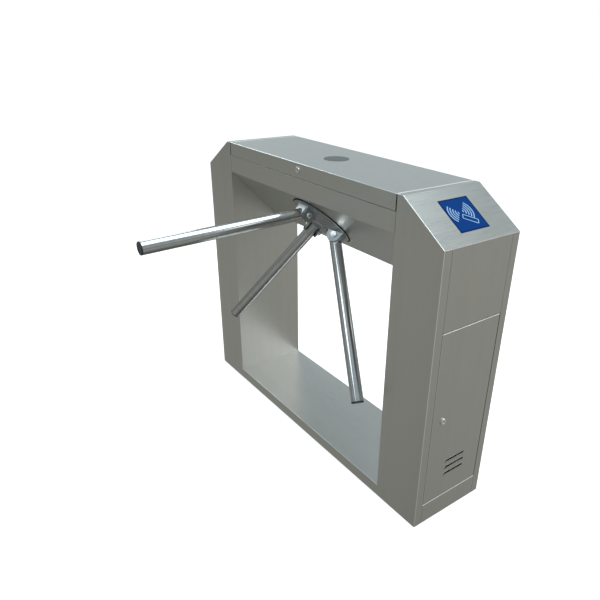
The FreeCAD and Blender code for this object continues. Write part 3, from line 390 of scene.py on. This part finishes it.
def stage_floor():
    """A plain pale floor that doesn't show in reflections."""
    mesh = bpy.data.meshes.new("floor")
    build = bmesh.new()
    bmesh.ops.create_grid(build, x_segments=1, y_segments=1, size=FLOOR_HALF)
    build.to_mesh(mesh)
    build.free()
    floor = bpy.data.objects.new("floor", mesh)
    pale = new_material("pale_floor", (0.90, 0.90, 0.90), 0.0, 0.9)
    shader_input(pale, "Emission Color").default_value = (1.0, 1.0, 1.0, 1.0)
    shader_input(pale, "Emission Strength").default_value = FLOOR_GLOW
    floor.data.materials.append(pale)
    floor.visible_glossy = False
    bpy.context.collection.objects.link(floor)


COOL = (0.91, 1.0, 1.03)
WHITE = (1.0, 1.0, 1.0)


def area_light(name, place, target, size, power, color=COOL):
    """A rectangular lamp that points from its place to a target."""
    data = bpy.data.lights.new(name, "AREA")
    data.shape = "RECTANGLE"
    data.size, data.size_y = size
    data.energy = power
    data.color = color
    light = bpy.data.objects.new(name, data)
    light.location = place
    light.rotation_euler = (Vector(target) - Vector(place)).to_track_quat("-Z", "Y").to_euler()
    bpy.context.collection.objects.link(light)


# height of a direction (-1 straight down, 1 straight up) and the colour of the studio there
STUDIO = [
    (-1.0, (0.10, 0.10, 0.09)),
    (-0.62, (0.33, 0.33, 0.31)),
    (-0.30, (0.36, 0.36, 0.33)),
    (-0.05, (0.24, 0.25, 0.23)),
    (0.20, (0.42, 0.48, 0.51)),
    (0.45, (0.31, 0.35, 0.375)),
    (1.0, (0.58, 0.66, 0.69)),
]
ROOM_STRENGTH = (0.86, 1.08)  # at the -X and the +X side


def studio_world():
    """White behind the object; for light and reflections, a soft room, brighter overhead and towards +X."""
    world = bpy.data.worlds.new("studio")
    world.use_nodes = True
    tree = world.node_tree
    nodes, links = tree.nodes, tree.links
    nodes.clear()
    coords = nodes.new("ShaderNodeTexCoord")
    split = nodes.new("ShaderNodeSeparateXYZ")
    links.new(coords.outputs["Generated"], split.inputs["Vector"])
    height = spread(tree, split.outputs["Z"], 0.0, 1.0, (-1.0, 1.0))
    ramp = nodes.new("ShaderNodeValToRGB")
    for place, _ in STUDIO[1:-1]:
        ramp.color_ramp.elements.new((place + 1) / 2)
    for stop, (_, color) in zip(ramp.color_ramp.elements, STUDIO):
        stop.color = (*color, 1.0)
    links.new(height, ramp.inputs["Fac"])
    lit = nodes.new("ShaderNodeBackground")
    links.new(ramp.outputs["Color"], lit.inputs["Color"])
    links.new(spread(tree, split.outputs["X"], *ROOM_STRENGTH, (-1.0, 1.0)), lit.inputs["Strength"])
    seen = nodes.new("ShaderNodeBackground")
    seen.inputs["Color"].default_value = (1.0, 1.0, 1.0, 1.0)
    path = nodes.new("ShaderNodeLightPath")
    mix = nodes.new("ShaderNodeMixShader")
    links.new(path.outputs["Is Camera Ray"], mix.inputs["Fac"])
    links.new(lit.outputs["Background"], mix.inputs[1])
    links.new(seen.outputs["Background"], mix.inputs[2])
    out = nodes.new("ShaderNodeOutputWorld")
    links.new(mix.outputs["Shader"], out.inputs["Surface"])
    bpy.context.scene.world = world


CAMERA_AT = (1.445, -1.109, 1.301)
CAMERA_TURN = (-0.911, 0.462, 0.025)  # yaw, downward pitch and roll, in radians
LENS_LENGTH = 34.57  # millimetres, on a sensor 36 wide
SENSOR = 36.0
SHIFT = (-0.059, 0.0375)


def camera():
    """Looks down on the right-hand end from the walkway side."""
    yaw, pitch, roll = CAMERA_TURN
    forward = Vector((math.sin(yaw) * math.cos(pitch), math.cos(yaw) * math.cos(pitch), -math.sin(pitch)))
    level = Vector((math.cos(yaw), -math.sin(yaw), 0.0))
    above = level.cross(forward)
    right = math.cos(roll) * level + math.sin(roll) * above
    up = math.cos(roll) * above - math.sin(roll) * level
    data = bpy.data.cameras.new("camera")
    data.sensor_width = SENSOR
    data.lens = LENS_LENGTH
    data.shift_x, data.shift_y = SHIFT
    cam = bpy.data.objects.new("camera", data)
    turn = Matrix((right, up, -forward)).transposed()
    cam.matrix_world = Matrix.Translation(CAMERA_AT) @ turn.to_4x4()
    bpy.context.collection.objects.link(cam)
    bpy.context.scene.camera = cam


stage_floor()
studio_world()
area_light("key", (0.3, 0.45, 3.4), (0.2, 0.0, 0.7), (2.8, 2.0), 44.0)
area_light("fill", (0.5, -2.55, 2.6), (0.2, -0.15, 0.5), (1.1, 1.1), 9.0)
area_light("window", (2.1, 1.8, 1.8), (-0.4, 0.0, 0.1), (2.0, 1.7), 13.0, WHITE)
area_light("back", (-2.7, 2.2, 1.5), (0.0, 0.0, 0.9), (2.6, 1.0), 2.4)
area_light("edge", (-3.0, -0.3, 2.7), (0.0, -0.1, 0.96), (2.4, 0.7), 16.0)
camera()
bpy.context.scene.view_settings.view_transform = "Standard"
